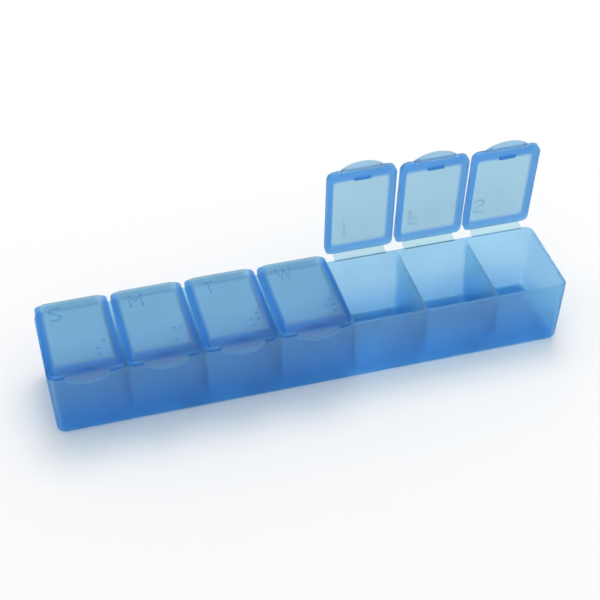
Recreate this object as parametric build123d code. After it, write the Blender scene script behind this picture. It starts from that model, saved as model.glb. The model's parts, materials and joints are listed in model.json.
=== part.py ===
from build123d import *
import os
from math import cos, pi, radians, sin

# Seven-day pill organizer: one long tray of seven cells, each closed by its own
# domed flip lid on a thin living hinge.  Millimetres and degrees, +Z up, +X along
# the row of cells, -Y the front with the thumb tabs.  The origin is the centre of
# the underside that the tray stands on.

# ---- driving dimensions -----------------------------------------------------
DAYS = ("sunday", "monday", "tuesday", "wednesday", "thursday", "friday", "saturday")
OPEN_ANGLES = {"thursday": 86.0, "friday": 84.0, "saturday": 83.0}   # the rest are shut
BRAILLE = {                       # raised dots of each day's initial, numbered 1 to 6
    "sunday": (2, 3, 4),
    "monday": (1, 3, 4),
    "tuesday": (2, 3, 4, 5),
    "wednesday": (2, 4, 5, 6),
    "thursday": (2, 3, 4, 5),
    "friday": (1, 2, 4),
    "saturday": (2, 3, 4),
}

cell_pitch = 24.0                 # centre to centre of two cells
tray_depth = 32.2                 # front to back at the rim
tray_height = 24.0                # underside to rim
tray_wall = 1.2                   # outer walls
divider = 1.2                     # wall between two cells, at the rim
tray_floor = 1.4                  # floor under the cells
outer_draft = 1.0                 # each outer wall leans in by this at the base
divider_draft = 0.3               # each divider face leans out by this at the floor
rim_band = 2.0                    # upright band at the top of the outer walls
tray_corner_radius = 2.6          # upright corners
tray_base_radius = 2.0            # edge round the underside
cell_side_radius = 2.0            # hollow of a cell, at its left and right
cell_edge_radius = 0.9            # hollow of a cell, along front, back and corners
rim_rounding = 0.25               # all edges of the rim

latch_width = 7.0                 # bar on the front wall that the thumb tab hangs over
latch_height = 1.0
latch_reach = 0.35
latch_below_rim = 0.35

lid_gap = 1.1                     # between the skirts of two lids, along the row
lid_front_overhang = 0.4          # skirt beyond the front wall
lid_rear_overhang = 0.8           # skirt beyond the rear wall
lid_seat_gap = 0.1                # running gap between rim and skirt
lid_height = 3.3                  # skirt's lower edge to the flat top
skirt_band = 2.0                  # upright band at the foot of the skirt
top_inset_side = 1.9              # flat top inside the skirt, left and right
top_inset_front = 2.4
top_inset_rear = 1.0
lid_front_corner = 2.6            # plan radius
lid_rear_corner = 1.9
lid_top_corner = 1.6              # plan radius of the flat top
lid_top_rounding = 0.6            # edge round the flat top
lid_roof = 1.7                    # thickness under the flat top
flange_side = 1.4                 # flat ring under the lid, left and right
flange_front = 1.4
flange_rear = 1.6
roof_inset_side = 2.6             # flat ceiling of the hollow, from the skirt
roof_inset_front = 5.2
roof_inset_rear = 3.2
hollow_corner = 1.2

tab_half_width = 7.0              # thumb tab, at its short straight sides
tab_side = 0.9                    # straight sides, beyond the skirt
tab_reach = 3.7                   # middle of the tab, beyond the skirt
tab_root_thickness = 1.7
tab_tip_thickness = 0.9
tab_corner = 0.8                  # plan radius where the sides meet the arc
tab_edge = 0.3

catch_width = 5.5                 # tongue under the front flange, inside the wall
catch_thickness = 1.2
catch_drop = 0.7
catch_clearance = 0.25
catch_rounding = 0.3

dot_radius = 0.65                 # raised dots, where they leave the top
dot_rise = 0.4
dot_column_pitch = 2.2
dot_row_pitch = 2.75
dot_from_side = 4.35              # right-hand column, from the skirt's right side
dot_from_front = 10.4             # first row, from the skirt's front

hinge_setback = 2.0               # hinge axis behind the rear wall
hinge_below_rim = 0.4             # hinge axis below the rim
web_width = 17.6                  # living hinge, along the row
web_thickness = 0.35
web_below_rim = 0.55              # middle of the web where it leaves the tray
web_above_skirt = 0.45            # middle of the web where it meets the lid
web_shut_length = 3.6             # along the folded web
web_open_radius = 1.3             # bend of the web under an open lid

# ---- sizes that follow -------------------------------------------------------
tray_length = cell_pitch * len(DAYS)
front_wall_y = -tray_depth / 2
rear_wall_y = tray_depth / 2
hinge_y = rear_wall_y + hinge_setback
hinge_z = tray_height - hinge_below_rim
hinge_axis = Axis((0, hinge_y, hinge_z), (-1, 0, 0))
lid_width = cell_pitch - lid_gap
lid_seat_z = tray_height + lid_seat_gap
lid_top_z = lid_seat_z + lid_height
lid_ceiling_z = lid_top_z - lid_roof
lid_front_y = front_wall_y - lid_front_overhang
lid_rear_y = rear_wall_y + lid_rear_overhang


def cell_centre(index):
    """Middle of a cell along the row."""
    return -tray_length / 2 + (index + 0.5) * cell_pitch


def plate(low, high, z, front_radius, rear_radius):
    """Flat outline in plan from one corner to the other, with rounded corners."""
    middle = Pos((low[0] + high[0]) / 2, (low[1] + high[1]) / 2, z)
    outline = middle * Rectangle(high[0] - low[0], high[1] - low[1])
    outline = fillet(outline.vertices().sort_by(Axis.Y)[:2], front_radius)
    return fillet(outline.vertices().sort_by(Axis.Y)[-2:], rear_radius)


# ---- tray --------------------------------------------------------------------
def tray_shell():
    """Solid outer form of the tray, drafted below an upright band at the rim."""
    half_x = tray_length / 2
    half_y = tray_depth / 2
    band_z = tray_height - rim_band
    radius = tray_corner_radius
    foot = plate(
        (-half_x + outer_draft, -half_y + outer_draft),
        (half_x - outer_draft, half_y - outer_draft), 0, radius, radius)
    shoulder = plate((-half_x, -half_y), (half_x, half_y), band_z, radius, radius)
    body = loft([foot, shoulder])
    body = fillet(body.faces().sort_by(Axis.Z)[0].edges(), tray_base_radius)
    return body + extrude(shoulder, rim_band)


def cell_hollow(index):
    """Space of one cell, with wide rounds at its sides and small ones elsewhere."""
    left = cell_centre(index) - cell_pitch / 2
    right = left + cell_pitch
    at_left_end = index == 0
    at_right_end = index == len(DAYS) - 1
    left += tray_wall if at_left_end else divider / 2
    right -= tray_wall if at_right_end else divider / 2
    left_draft = outer_draft if at_left_end else divider_draft
    right_draft = outer_draft if at_right_end else divider_draft
    half_y = tray_depth / 2 - tray_wall
    floor_width = right - right_draft - left - left_draft
    floor_outline = Pos((left + left_draft + right - right_draft) / 2, 0, tray_floor) * Rectangle(
        floor_width, 2 * (half_y - outer_draft))
    mouth_outline = Pos((left + right) / 2, 0, tray_height) * Rectangle(right - left, 2 * half_y)
    hollow = loft([floor_outline, mouth_outline])
    floor_edges = hollow.faces().sort_by(Axis.Z)[0].edges()
    hollow = fillet(floor_edges.filter_by(Axis.Y), cell_side_radius)
    front = hollow.faces().sort_by(Axis.Y)[0]
    rear = hollow.faces().sort_by(Axis.Y)[-1]
    kept_sharp = hollow.edges().filter_by_position(
        Axis.Z, tray_height - cell_edge_radius, tray_height + cell_edge_radius)
    rounded = [edge for edge in front.edges() + rear.edges() if edge not in kept_sharp]
    return fillet(rounded, cell_edge_radius)


def latch_bar(index):
    """Low bar on the front wall, below the rim, in the middle of a cell."""
    top_z = tray_height - latch_below_rim
    depth = latch_reach + tray_wall / 2
    bar = Pos(cell_centre(index), front_wall_y - latch_reach + depth / 2, top_z - latch_height / 2) * Box(
        latch_width, depth, latch_height)
    front = bar.faces().sort_by(Axis.Y)[0]
    return fillet(front.edges(), latch_reach / 2)


def make_tray():
    """The whole tray: shell, seven hollows and seven latch bars, in one moulding."""
    tray = tray_shell()
    for index in range(len(DAYS)):
        tray -= cell_hollow(index)
    rim = tray.faces().sort_by(Axis.Z)[-1]
    tray = fillet(rim.edges(), rim_rounding)
    for index in range(len(DAYS)):
        tray += latch_bar(index)
    return tray


# ---- lid, made shut and centred on x = 0 --------------------------------------
def lid_cap():
    """Outer form of a lid: an upright skirt, four slopes and a flat top."""
    half = lid_width / 2
    low = (-half, lid_front_y)
    high = (half, lid_rear_y)
    skirt = plate(low, high, lid_seat_z, lid_front_corner, lid_rear_corner)
    shoulder = plate(low, high, lid_seat_z + skirt_band, lid_front_corner, lid_rear_corner)
    top = plate(
        (-half + top_inset_side, lid_front_y + top_inset_front),
        (half - top_inset_side, lid_rear_y - top_inset_rear),
        lid_top_z, lid_top_corner, lid_top_corner)
    dome = loft([shoulder, top])
    dome = fillet(dome.faces().sort_by(Axis.Z)[-1].edges(), lid_top_rounding)
    return extrude(skirt, skirt_band) + dome


def lid_hollow():
    """Space under a lid, inside the flat ring that rests on the rim."""
    half = lid_width / 2
    mouth = plate(
        (-half + flange_side, lid_front_y + flange_front),
        (half - flange_side, lid_rear_y - flange_rear),
        lid_seat_z, hollow_corner, hollow_corner)
    ceiling = plate(
        (-half + roof_inset_side, lid_front_y + roof_inset_front),
        (half - roof_inset_side, lid_rear_y - roof_inset_rear),
        lid_ceiling_z, hollow_corner, hollow_corner)
    return loft([mouth, ceiling])


def thumb_tab():
    """Rounded tab at the front of a lid, thinner towards its tip."""
    root_y = lid_front_y + flange_front / 2
    side_y = lid_front_y - tab_side
    tip_y = lid_front_y - tab_reach
    rim = Line((-tab_half_width, root_y), (-tab_half_width, side_y))
    rim += ThreePointArc((-tab_half_width, side_y), (0, tip_y), (tab_half_width, side_y))
    rim += Line((tab_half_width, side_y), (tab_half_width, root_y))
    rim += Line((tab_half_width, root_y), (-tab_half_width, root_y))
    outline = make_face(rim)
    outline = fillet(outline.vertices().sort_by(Axis.Y)[:2], tab_corner)
    from_side = make_face(Polyline(
        (root_y, lid_seat_z), (tip_y, lid_seat_z), (tip_y, lid_seat_z + tab_tip_thickness),
        (lid_front_y, lid_seat_z + tab_root_thickness),
        (root_y, lid_seat_z + tab_root_thickness), close=True))
    tab = extrude(Pos(0, 0, lid_seat_z) * outline, tab_root_thickness)
    tab &= extrude(Plane.YZ * from_side, tab_half_width, both=True)
    outside = [edge for edge in tab.edges() if edge.center().Y < lid_front_y - tab_edge]
    return fillet(ShapeList(outside).filter_by(Axis.Z, reverse=True), tab_edge)


def catch_tongue():
    """Small tongue under the front of a lid that drops just inside the front wall."""
    face_y = front_wall_y + tray_wall + catch_clearance
    height = catch_drop + skirt_band
    tongue = Pos(0, face_y + catch_thickness / 2, lid_seat_z - catch_drop + height / 2) * Box(
        catch_width, catch_thickness, height)
    return fillet(tongue.faces().sort_by(Axis.Z)[0].edges(), catch_rounding)


def braille_dot(number):
    """One raised dot, placed by its number in the six-dot cell."""
    column, row = divmod(number - 1, 3)
    right_column_x = lid_width / 2 - dot_from_side
    x = right_column_x - (1 - column) * dot_column_pitch
    y = lid_front_y + dot_from_front - row * dot_row_pitch
    radius = (dot_radius ** 2 + dot_rise ** 2) / (2 * dot_rise)
    return Pos(x, y, lid_top_z + dot_rise - radius) * Sphere(radius)


def make_lid(day):
    """A whole lid, turned about its hinge axis to the angle it rests at."""
    lid = lid_cap() + thumb_tab() - lid_hollow() + catch_tongue()
    for number in BRAILLE[day]:
        lid += braille_dot(number)
    return lid.rotate(hinge_axis, OPEN_ANGLES.get(day, 0))


# ---- living hinge, centred on x = 0 --------------------------------------------
def web_path(angle):
    """Middle line of the web: straight, one bend, straight, as seen from the end."""
    start_y = rear_wall_y
    start_z = tray_height - web_below_rim
    reach_y = lid_rear_y - hinge_y
    reach_z = lid_seat_z + web_above_skirt - hinge_z
    turn = radians(angle)
    end_y = hinge_y + reach_y * cos(turn) + reach_z * sin(turn)
    end_z = hinge_z - reach_y * sin(turn) + reach_z * cos(turn)
    if angle == 0:
        radius = (end_z - start_z) / 2
        straights = web_shut_length - pi * radius
        first_run = (straights + end_y - start_y) / 2
    else:
        radius = web_open_radius
        last_run = (end_z - start_z - radius * (1 + cos(turn))) / sin(turn)
        first_run = end_y - start_y - radius * sin(turn) + last_run * cos(turn)
    away = Line((start_y, start_z), (start_y + first_run, start_z))
    bend = JernArc(away @ 1, away % 1, radius, 180 - angle)
    back = Line(bend @ 1, (end_y, end_z))
    return Plane.YZ * (away + bend + back)


def make_hinge(day):
    """A thin web from the tray's rear wall to the back of the lid's skirt."""
    path = web_path(OPEN_ANGLES.get(day, 0))
    section = Plane(origin=path @ 0, x_dir=(1, 0, 0), z_dir=(0, 1, 0)) * Rectangle(
        web_width, web_thickness)
    return sweep(section, path=path)


# ---- write one file for each piece ----------------------------------------------
os.makedirs("parts", exist_ok=True)
export_step(make_tray(), "parts/tray.step")
for place, day_name in enumerate(DAYS):
    across = Pos(cell_centre(place), 0, 0)
    export_step(across * make_lid(day_name), f"parts/lid_{day_name}.step")
    export_step(across * make_hinge(day_name), f"parts/hinge_{day_name}.step")
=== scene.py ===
import json
from math import cos, pi, radians, sin

import bpy
from mathutils import Matrix, Vector


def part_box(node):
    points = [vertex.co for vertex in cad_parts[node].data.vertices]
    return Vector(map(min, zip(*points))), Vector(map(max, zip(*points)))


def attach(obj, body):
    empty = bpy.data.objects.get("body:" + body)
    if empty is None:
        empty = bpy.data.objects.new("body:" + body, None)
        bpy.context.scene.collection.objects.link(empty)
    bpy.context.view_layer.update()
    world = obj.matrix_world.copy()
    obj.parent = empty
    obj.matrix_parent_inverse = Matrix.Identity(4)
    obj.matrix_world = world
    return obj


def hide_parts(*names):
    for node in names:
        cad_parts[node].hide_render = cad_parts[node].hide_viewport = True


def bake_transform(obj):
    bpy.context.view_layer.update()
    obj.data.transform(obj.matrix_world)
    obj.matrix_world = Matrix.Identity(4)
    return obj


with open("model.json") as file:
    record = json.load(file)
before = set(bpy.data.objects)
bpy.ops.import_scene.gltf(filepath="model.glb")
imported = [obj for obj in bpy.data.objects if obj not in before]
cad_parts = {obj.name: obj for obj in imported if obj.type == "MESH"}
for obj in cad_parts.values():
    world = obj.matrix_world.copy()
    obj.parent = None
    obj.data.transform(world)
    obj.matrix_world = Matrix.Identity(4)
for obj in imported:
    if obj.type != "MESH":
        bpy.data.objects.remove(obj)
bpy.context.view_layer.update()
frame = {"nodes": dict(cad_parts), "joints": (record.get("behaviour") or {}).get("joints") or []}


# ---- Camera -------------------------------------------------------------------
# A long lens looks down on the front of the box from the left, with the shut lids
# nearest to it. The view is turned by a hair, as in the photograph.
MM = 0.001
view_azimuth = radians(-15.15)
view_elevation = radians(40.78)
view_roll = radians(-0.30)
view_distance = 487.5 * MM
view_shift_right = 1.23 * MM
view_shift_up = -17.92 * MM
nearest_seen = 10 * MM
lens_mm = 88.9
film_width_mm = 36.0

backwards = Vector((
    sin(view_azimuth) * cos(view_elevation),
    -cos(view_azimuth) * cos(view_elevation),
    sin(view_elevation)))
level = Vector((0, 0, 1)).cross(backwards).normalized()
view_turn = Matrix.Rotation(view_roll, 3, backwards)
rightwards = view_turn @ level
upwards = view_turn @ backwards.cross(level)
camera_place = (
    backwards * view_distance - rightwards * view_shift_right - upwards * view_shift_up)
bpy.ops.object.camera_add()
camera = bpy.context.object
camera.name = "camera"
view_axes = Matrix((rightwards, upwards, backwards)).transposed()
camera.matrix_world = Matrix.Translation(camera_place) @ view_axes.to_4x4()
camera.data.lens = lens_mm
camera.data.sensor_width = film_width_mm
camera.data.clip_start = nearest_seen
bpy.context.scene.camera = camera


# ---- Table and light ------------------------------------------------------------
# The box stands on a matt white table in a white tent. One broad soft lamp hangs
# above it and a little behind it. Table and tent also show through the plastic.
table_size = 4.0
table_white = 0.86
table_roughness = 0.9
table_gloss = 0.0
table_gap = 0.05 * MM
tent_brightness = 0.85
lamp_watts = 5.0
lamp_size = 0.6
lamp_place = Vector((0.15, 0.40, 1.10))

bpy.ops.object.select_all(action="DESELECT")
bpy.ops.mesh.primitive_plane_add(size=table_size, location=(0, 0, -table_gap))
table = bpy.context.object
table.name = "table"
table_paint = bpy.data.materials.new("white table")
table_paint.use_nodes = True
table_surface = table_paint.node_tree.nodes["Principled BSDF"]
table_surface.inputs["Base Color"].default_value = (table_white, table_white, table_white, 1)
table_surface.inputs["Roughness"].default_value = table_roughness
table_surface.inputs["Specular IOR Level"].default_value = table_gloss
table.data.materials.append(table_paint)

tent = bpy.data.worlds.new("white tent")
tent.use_nodes = True
tent_light = tent.node_tree.nodes["Background"]
tent_light.inputs["Color"].default_value = (1, 1, 1, 1)
tent_light.inputs["Strength"].default_value = tent_brightness
bpy.context.scene.world = tent

bpy.ops.object.light_add(type="AREA", location=lamp_place)
lamp = bpy.context.object
lamp.name = "overhead lamp"
lamp.data.size = lamp_size
lamp.data.energy = lamp_watts
lamp.rotation_euler = lamp_place.to_track_quat("Z", "Y").to_euler()
bpy.context.scene.view_settings.view_transform = "Standard"


# ---- Tray -----------------------------------------------------------------------
# One polypropylene moulding with seven cells, tinted blue through. The mould leaves
# its faces finely frosted, so light spreads in the walls and the far ones look soft.
# Painted shade: near faces are painted darker towards the floor, on the rear wall and at both
# ends.
tray_tint = (0.56, 0.84, 0.95)
tray_painted_shade_tint = (0.20, 0.53, 0.92)
tray_absorbed = (0.20, 0.60, 0.97)
tray_density = 50.0
tray_frosting = 0.45
tray_ior = 1.10
tray_painted_shade_fades = [
    ("MAXIMUM", "Z", 24 * MM, 2 * MM, 0, 1),             # down to the floor
    ("MAXIMUM", "Y", 8 * MM, 14 * MM, 0, 0.5),           # rear wall
    ("MAXIMUM", "X", -82.5 * MM, -83.5 * MM, 0, 1),      # outside of the left end
    ("MAXIMUM", "X", 80.5 * MM, 82.0 * MM, 0, 0.6)]      # inside of the right end
clear_share = 0.90
gloss_share = 0.10
gloss_roughness = 0.25
grain_mm = 0.35
grain_height_mm = 0.006
grain_detail = 3.0
hazes_per_metre = 70.0
haze_detail = 2.0
haze_thin, haze_thick = 0.3, 0.7
haze_least, haze_most = 0.96, 1.04


def frosted_group():
    """Painted shade mixed in by a mask, with fine frosting and slow flow haze, as colour,
    roughness and height over the surface.
    """
    group = bpy.data.node_groups.new("frosted moulding", "ShaderNodeTree")
    for name, kind in (
            ("Position", "Vector"), ("Tint", "Color"), ("Painted shade tint", "Color"),
            ("Painted shade", "Float"), ("Frosting", "Float"), ("Texture", "Float"),
            ("Grains per metre", "Float")):
        group.interface.new_socket(name, in_out="INPUT", socket_type="NodeSocket" + kind)
    for name, kind in (("Colour", "Color"), ("Roughness", "Float"), ("Height", "Float")):
        group.interface.new_socket(name, in_out="OUTPUT", socket_type="NodeSocket" + kind)
    nodes = group.nodes
    links = group.links
    given = nodes.new("NodeGroupInput")
    result = nodes.new("NodeGroupOutput")

    grain = nodes.new("ShaderNodeTexNoise")
    grain.inputs["Detail"].default_value = grain_detail
    links.new(given.outputs["Position"], grain.inputs["Vector"])
    links.new(given.outputs["Grains per metre"], grain.inputs["Scale"])
    links.new(grain.outputs["Fac"], result.inputs["Height"])

    flow = nodes.new("ShaderNodeTexNoise")
    flow.inputs["Scale"].default_value = hazes_per_metre
    flow.inputs["Detail"].default_value = haze_detail
    links.new(given.outputs["Position"], flow.inputs["Vector"])
    haze = nodes.new("ShaderNodeMapRange")
    haze.inputs["From Min"].default_value = haze_thin
    haze.inputs["From Max"].default_value = haze_thick
    haze.inputs["To Min"].default_value = haze_least
    haze.inputs["To Max"].default_value = haze_most
    links.new(flow.outputs["Fac"], haze.inputs["Value"])

    tint = nodes.new("ShaderNodeMix")
    tint.data_type = "RGBA"
    links.new(given.outputs["Painted shade"], tint.inputs["Factor"])
    links.new(given.outputs["Tint"], tint.inputs["A"])
    links.new(given.outputs["Painted shade tint"], tint.inputs["B"])
    shaded = nodes.new("ShaderNodeVectorMath")
    shaded.operation = "SCALE"
    links.new(tint.outputs["Result"], shaded.inputs[0])
    links.new(haze.outputs["Result"], shaded.inputs["Scale"])
    links.new(shaded.outputs["Vector"], result.inputs["Colour"])

    frosted = nodes.new("ShaderNodeMath")
    frosted.operation = "MULTIPLY"
    links.new(given.outputs["Frosting"], frosted.inputs[0])
    links.new(haze.outputs["Result"], frosted.inputs[1])
    textured = nodes.new("ShaderNodeMath")
    textured.operation = "MAXIMUM"
    links.new(frosted.outputs["Value"], textured.inputs[0])
    links.new(given.outputs["Texture"], textured.inputs[1])
    links.new(textured.outputs["Value"], result.inputs["Roughness"])
    return group


def mask_group(name, fades):
    """A mask over a piece. Each fade is how it joins, its axis, two places and two values."""
    group = bpy.data.node_groups.new(name, "ShaderNodeTree")
    group.interface.new_socket("Position", in_out="INPUT", socket_type="NodeSocketVector")
    group.interface.new_socket("Mask", in_out="OUTPUT", socket_type="NodeSocketFloat")
    nodes = group.nodes
    links = group.links
    given = nodes.new("NodeGroupInput")
    result = nodes.new("NodeGroupOutput")
    part = nodes.new("ShaderNodeSeparateXYZ")
    links.new(given.outputs["Position"], part.inputs["Vector"])
    so_far = None
    for joins_as, axis, start, end, at_start, at_end in fades:
        fade = nodes.new("ShaderNodeMapRange")
        fade.interpolation_type = "SMOOTHSTEP"
        fade.inputs["From Min"].default_value = start
        fade.inputs["From Max"].default_value = end
        fade.inputs["To Min"].default_value = at_start
        fade.inputs["To Max"].default_value = at_end
        links.new(part.outputs[axis], fade.inputs["Value"])
        if so_far is None:
            so_far = fade.outputs["Result"]
            continue
        joined = nodes.new("ShaderNodeMath")
        joined.operation = joins_as
        links.new(so_far, joined.inputs[0])
        links.new(fade.outputs["Result"], joined.inputs[1])
        so_far = joined.outputs["Value"]
    links.new(so_far, result.inputs["Mask"])
    return group


frosting_group = frosted_group()


def blue_plastic(
        name, tint, painted_shade_tint, absorbed, density, frosting, ior,
        painted_shade=None, texture=None, laid=None):
    """Frosted faces round a clear body that takes out red first, then green, with painted shade
    in the colour of the near faces where a mask asks for it.
    """
    material = bpy.data.materials.new(name)
    material.use_nodes = True
    nodes = material.node_tree.nodes
    links = material.node_tree.links
    surface = nodes["Principled BSDF"]
    surface.inputs["Transmission Weight"].default_value = clear_share
    surface.inputs["IOR"].default_value = ior
    surface.inputs["Coat Weight"].default_value = gloss_share
    surface.inputs["Coat Roughness"].default_value = gloss_roughness
    position = nodes.new("ShaderNodeTexCoord").outputs["Object"]
    if laid:
        placed = nodes.new("ShaderNodeMapping")
        for socket, value in zip(("Location", "Rotation"), laid):
            placed.inputs[socket].default_value = value
        links.new(position, placed.inputs["Vector"])
        position = placed.outputs["Vector"]

    frosted = nodes.new("ShaderNodeGroup")
    frosted.node_tree = frosting_group
    frosted.inputs["Tint"].default_value = (*tint, 1)
    frosted.inputs["Painted shade tint"].default_value = (*painted_shade_tint, 1)
    frosted.inputs["Frosting"].default_value = frosting
    frosted.inputs["Grains per metre"].default_value = 1 / (grain_mm * MM)
    links.new(position, frosted.inputs["Position"])
    # Painted shade: the mask mixes the painted shade tint into the colour, on near faces only.
    if painted_shade:
        painted_shade_node = nodes.new("ShaderNodeGroup")
        painted_shade_node.node_tree = painted_shade
        links.new(position, painted_shade_node.inputs["Position"])
        side = nodes.new("ShaderNodeNewGeometry")
        near_face = nodes.new("ShaderNodeMapRange")
        near_face.inputs["To Min"].default_value = 1
        near_face.inputs["To Max"].default_value = 0
        links.new(side.outputs["Backfacing"], near_face.inputs["Value"])
        on_near_face = nodes.new("ShaderNodeMath")
        on_near_face.operation = "MULTIPLY"
        links.new(painted_shade_node.outputs["Mask"], on_near_face.inputs[0])
        links.new(near_face.outputs["Result"], on_near_face.inputs[1])
        links.new(on_near_face.outputs["Value"], frosted.inputs["Painted shade"])
    if texture:
        textured = nodes.new("ShaderNodeGroup")
        textured.node_tree = texture
        links.new(position, textured.inputs["Position"])
        links.new(textured.outputs["Mask"], frosted.inputs["Texture"])
    links.new(frosted.outputs["Colour"], surface.inputs["Base Color"])
    links.new(frosted.outputs["Roughness"], surface.inputs["Roughness"])

    bump = nodes.new("ShaderNodeBump")
    bump.inputs["Distance"].default_value = grain_height_mm * MM
    links.new(frosted.outputs["Height"], bump.inputs["Height"])
    links.new(bump.outputs["Normal"], surface.inputs["Normal"])
    body = nodes.new("ShaderNodeVolumeAbsorption")
    body.inputs["Color"].default_value = (*absorbed, 1)
    body.inputs["Density"].default_value = density
    links.new(body.outputs["Volume"], nodes["Material Output"].inputs["Volume"])
    return material


tray = frame["nodes"]["tray"]
tray.data.materials.clear()
tray.data.materials.append(blue_plastic(
    "frosted blue tray", tray_tint, tray_painted_shade_tint, tray_absorbed, tray_density,
    tray_frosting, tray_ior,
    painted_shade=mask_group("painted shade at the floor, rear and ends", tray_painted_shade_fades)))


# ---- Lids -----------------------------------------------------------------------
# Seven domed lids of the same moulding, each with a thumb tab and a catch tongue.
# Their flat tops, hollows and tabs are pale, the tabs' paleness a painted reflection, and the
# slopes, rings, skirts and dots are painted darker as painted shade.
# A mould texture on the tops hides what lies under them.
lid_tint = (0.62, 0.79, 0.81)
lid_painted_shade_tint = (0.11, 0.36, 0.81)
lid_absorbed = (0.20, 0.60, 0.92)
lid_density = 250.0
lid_frosting = 0.42
lid_ior = 1.08
lid_painted_light_fades = [
    ("MAXIMUM", "X", 8.7 * MM, 10.4 * MM, 0, 0.95),      # right slope
    ("MAXIMUM", "X", -8.7 * MM, -10.4 * MM, 0, 1),       # left slope
    ("MAXIMUM", "Y", -13.3 * MM, -14.7 * MM, 0, 0.65),   # front slope
    ("MAXIMUM", "Y", 14.8 * MM, 16.2 * MM, 0, 0.3),      # rear slope
    ("MAXIMUM", "Z", 25.6 * MM, 24.8 * MM, 0, 1),        # ring and foot of the skirt
    ("MAXIMUM", "Z", 27.45 * MM, 27.6 * MM, 0, 0.5),     # raised dots
    ("MINIMUM", "Y", -17.3 * MM, -16.6 * MM, 0.35, 1)]   # thumb tab
lid_texture = [("MAXIMUM", "Z", 26.9 * MM, 27.3 * MM, 0, 0.8)]
days = ("sunday", "monday", "tuesday", "wednesday", "thursday", "friday", "saturday")
hinges = {joint["child"]: joint for joint in frame["joints"]}

lid_painted_light = mask_group("deeper round the flat top", lid_painted_light_fades)
lid_top_texture = mask_group("textured on the flat top", lid_texture)


def hinge_of(day):
    """The middle of a lid's hinge axis, and the angle that the lid rests open at."""
    hinge = hinges["lid_" + day]
    return Vector(hinge["pos_m"]), -radians(hinge["range_deg"][0])


def laid_shut(day):
    """Location and rotation that lay a lid's pattern as on a shut lid at the middle."""
    hinge_point, opened = hinge_of(day)
    moved = hinge_point - Matrix.Rotation(opened, 3, "X") @ hinge_point
    moved.x = -hinge_point.x
    return moved, (opened, 0, 0)


for day in days:
    lid = frame["nodes"]["lid_" + day]
    lid.data.materials.clear()
    lid.data.materials.append(blue_plastic(
        "frosted blue lid " + day, lid_tint, lid_painted_shade_tint, lid_absorbed, lid_density,
        lid_frosting, lid_ior, painted_shade=lid_painted_light, texture=lid_top_texture,
        laid=laid_shut(day)))


# ---- Day letters ------------------------------------------------------------------
# A plain raised initial at the rear left of each lid. The letters are cut in the
# mould, so their strokes are thin and low, and they hardly colour the light.
letter_height = 6.0 * MM
letter_foot = 6.7 * MM
letter_left_and_width = {
    "S": (-7.6 * MM, 4.0 * MM), "M": (-6.4 * MM, 4.5 * MM), "T": (-5.9 * MM, 3.0 * MM),
    "W": (-6.3 * MM, 5.2 * MM), "F": (-6.2 * MM, 3.0 * MM)}
letter_rise = 0.20 * MM
letter_sunk = 0.05 * MM
letter_thinned = -0.012
letter_depth_drawn = 0.06
letter_flat_within = radians(1)
# Painted light: the letters' sides keep a pale tint as a painted highlight, and their tops are
# painted darker as painted shade.
letter_painted_highlight_tint = (0.88, 0.95, 1.00)
letter_top_painted_shade_tint = (0.32, 0.58, 0.90)
letter_density = 1.0
letter_ior = 1.04
flat_top = 27.4 * MM
letter_painted_shade_fades = [("MAXIMUM", "Z", flat_top, flat_top + letter_rise / 2, 0, 1)]

letter_painted_shade = mask_group("painted shade on a letter's top", letter_painted_shade_fades)
for day in days:
    hinge_point, opened = hinge_of(day)
    bpy.ops.object.select_all(action="DESELECT")
    bpy.ops.object.text_add()
    letter = bpy.context.object
    letter.name = "letter_" + day
    letter_of_day = day[0].upper()
    letter.data.body = letter_of_day
    letter.data.offset = letter_thinned
    bpy.ops.object.convert(target="MESH")
    bpy.ops.object.mode_set(mode="EDIT")
    bpy.ops.mesh.select_all(action="SELECT")
    bpy.ops.mesh.dissolve_limited(angle_limit=letter_flat_within)
    bpy.ops.mesh.extrude_region_move(
        TRANSFORM_OT_translate={"value": (0, 0, letter_depth_drawn)})
    bpy.ops.mesh.select_all(action="SELECT")
    bpy.ops.mesh.normals_make_consistent(inside=False)
    bpy.ops.object.mode_set(mode="OBJECT")
    low = Vector([min(v.co[k] for v in letter.data.vertices) for k in range(3)])
    high = Vector([max(v.co[k] for v in letter.data.vertices) for k in range(3)])
    left, width = letter_left_and_width[letter_of_day]
    grow = letter_height / (high.y - low.y)
    widen = width / (high.x - low.x)
    letter.scale = (widen, grow, (letter_rise + letter_sunk) / letter_depth_drawn)
    letter.location = (
        hinge_point.x + left - low.x * widen,
        letter_foot - low.y * grow,
        flat_top - letter_sunk)
    bpy.ops.object.transform_apply(location=True, rotation=True, scale=True)
    if opened:
        swing = Matrix.Rotation(-opened, 4, "X")
        letter.data.transform(
            Matrix.Translation(hinge_point) @ swing @ Matrix.Translation(-hinge_point))
    letter.data.materials.clear()
    letter.data.materials.append(blue_plastic(
        "clear blue letter " + day, letter_painted_highlight_tint, letter_top_painted_shade_tint, lid_absorbed,
        letter_density, lid_frosting, letter_ior, painted_shade=letter_painted_shade,
        laid=laid_shut(day)))
    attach(letter, "lid_" + day)


# ---- Living hinges ------------------------------------------------------------------
# A thin web of the same moulding joins the tray's rear wall to each lid's skirt. It is
# straight, bent once and straight again, with its bend shaped to the angle its lid rests at.
web_thickness = 0.35 * MM
web_rounding = 0.10 * MM
web_rounding_steps = 2
web_below_rim = 0.55 * MM
web_on_lid = Vector((0, 16.9 * MM, 24.55 * MM))
web_shut_length = 3.6 * MM
web_open_radius = 1.3 * MM
run_steps = 4
bend_steps = 16
weld_within = 0.001 * MM
rounded_from = radians(60)
smooth_up_to = radians(40)
web_tint = (0.65, 0.88, 0.93)

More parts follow.
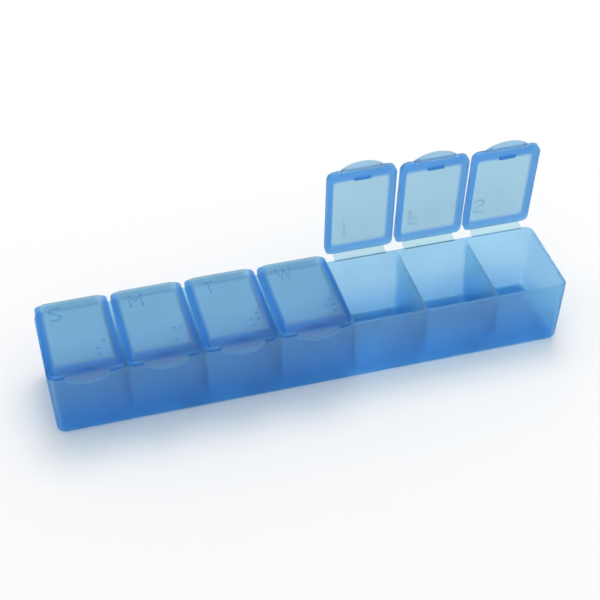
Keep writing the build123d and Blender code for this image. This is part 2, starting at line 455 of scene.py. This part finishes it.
web_plastic = blue_plastic(
    "thin blue web", web_tint, web_tint, tray_absorbed, tray_density, tray_frosting,
    tray_ior)
rear_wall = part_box("tray")[1].y
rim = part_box("tray")[1].z
for day in days:
    hinge_point, opened = hinge_of(day)
    low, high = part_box("hinge_" + day)
    web_width = high.x - low.x
    on_tray = Vector((hinge_point.x, rear_wall, rim - web_below_rim))
    shut_place = Vector((hinge_point.x, web_on_lid.y, web_on_lid.z)) - hinge_point
    on_lid = hinge_point + Matrix.Rotation(-opened, 3, "X") @ shut_place
    rise = on_lid.z - on_tray.z
    if opened:
        bend_radius = web_open_radius
        last_run = (rise - bend_radius * (1 + cos(opened))) / sin(opened)
        first_run = on_lid.y - on_tray.y - bend_radius * sin(opened) + last_run * cos(opened)
    else:
        bend_radius = rise / 2
        both_runs = web_shut_length - pi * bend_radius
        first_run = (both_runs + on_lid.y - on_tray.y) / 2
        last_run = both_runs - first_run
    bend_centre = on_tray + Vector((0, first_run, bend_radius))
    back = Vector((0, -cos(opened), sin(opened))) * last_run / run_steps

    bpy.ops.object.select_all(action="DESELECT")
    bpy.ops.mesh.primitive_plane_add(size=web_width, location=on_tray)
    web = bpy.context.object
    web.name = "web_" + day
    bpy.ops.object.transform_apply(location=True, rotation=True, scale=True)
    bpy.ops.object.mode_set(mode="EDIT")
    bpy.ops.mesh.select_all(action="DESELECT")
    bpy.ops.object.mode_set(mode="OBJECT")
    for vertex in web.data.vertices:
        vertex.select = vertex.co.y > on_tray.y
        if not vertex.select:
            vertex.co.y = on_tray.y
    bpy.ops.object.mode_set(mode="EDIT")
    bpy.ops.mesh.delete(type="VERT")
    bpy.ops.mesh.select_all(action="SELECT")
    for step in range(run_steps):
        bpy.ops.mesh.extrude_region_move(
            TRANSFORM_OT_translate={"value": (0, first_run / run_steps, 0)})
    bpy.ops.mesh.spin(
        steps=bend_steps, angle=opened - pi, center=bend_centre, axis=(1, 0, 0))
    for step in range(run_steps):
        bpy.ops.mesh.extrude_region_move(TRANSFORM_OT_translate={"value": back})
    bpy.ops.mesh.select_all(action="SELECT")
    bpy.ops.mesh.remove_doubles(threshold=weld_within)
    bpy.ops.mesh.normals_make_consistent(inside=False)
    bpy.ops.object.mode_set(mode="OBJECT")
    wall = web.modifiers.new("wall", "SOLIDIFY")
    wall.thickness = web_thickness
    wall.offset = 0
    bpy.ops.object.modifier_apply(modifier="wall")
    rounding = web.modifiers.new("rounding", "BEVEL")
    rounding.width = web_rounding
    rounding.segments = web_rounding_steps
    rounding.limit_method = "ANGLE"
    rounding.angle_limit = rounded_from
    bpy.ops.object.modifier_apply(modifier="rounding")
    bpy.ops.object.shade_smooth_by_angle(angle=smooth_up_to)
    web.data.materials.clear()
    web.data.materials.append(web_plastic)
    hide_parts("hinge_" + day)
    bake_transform(web)
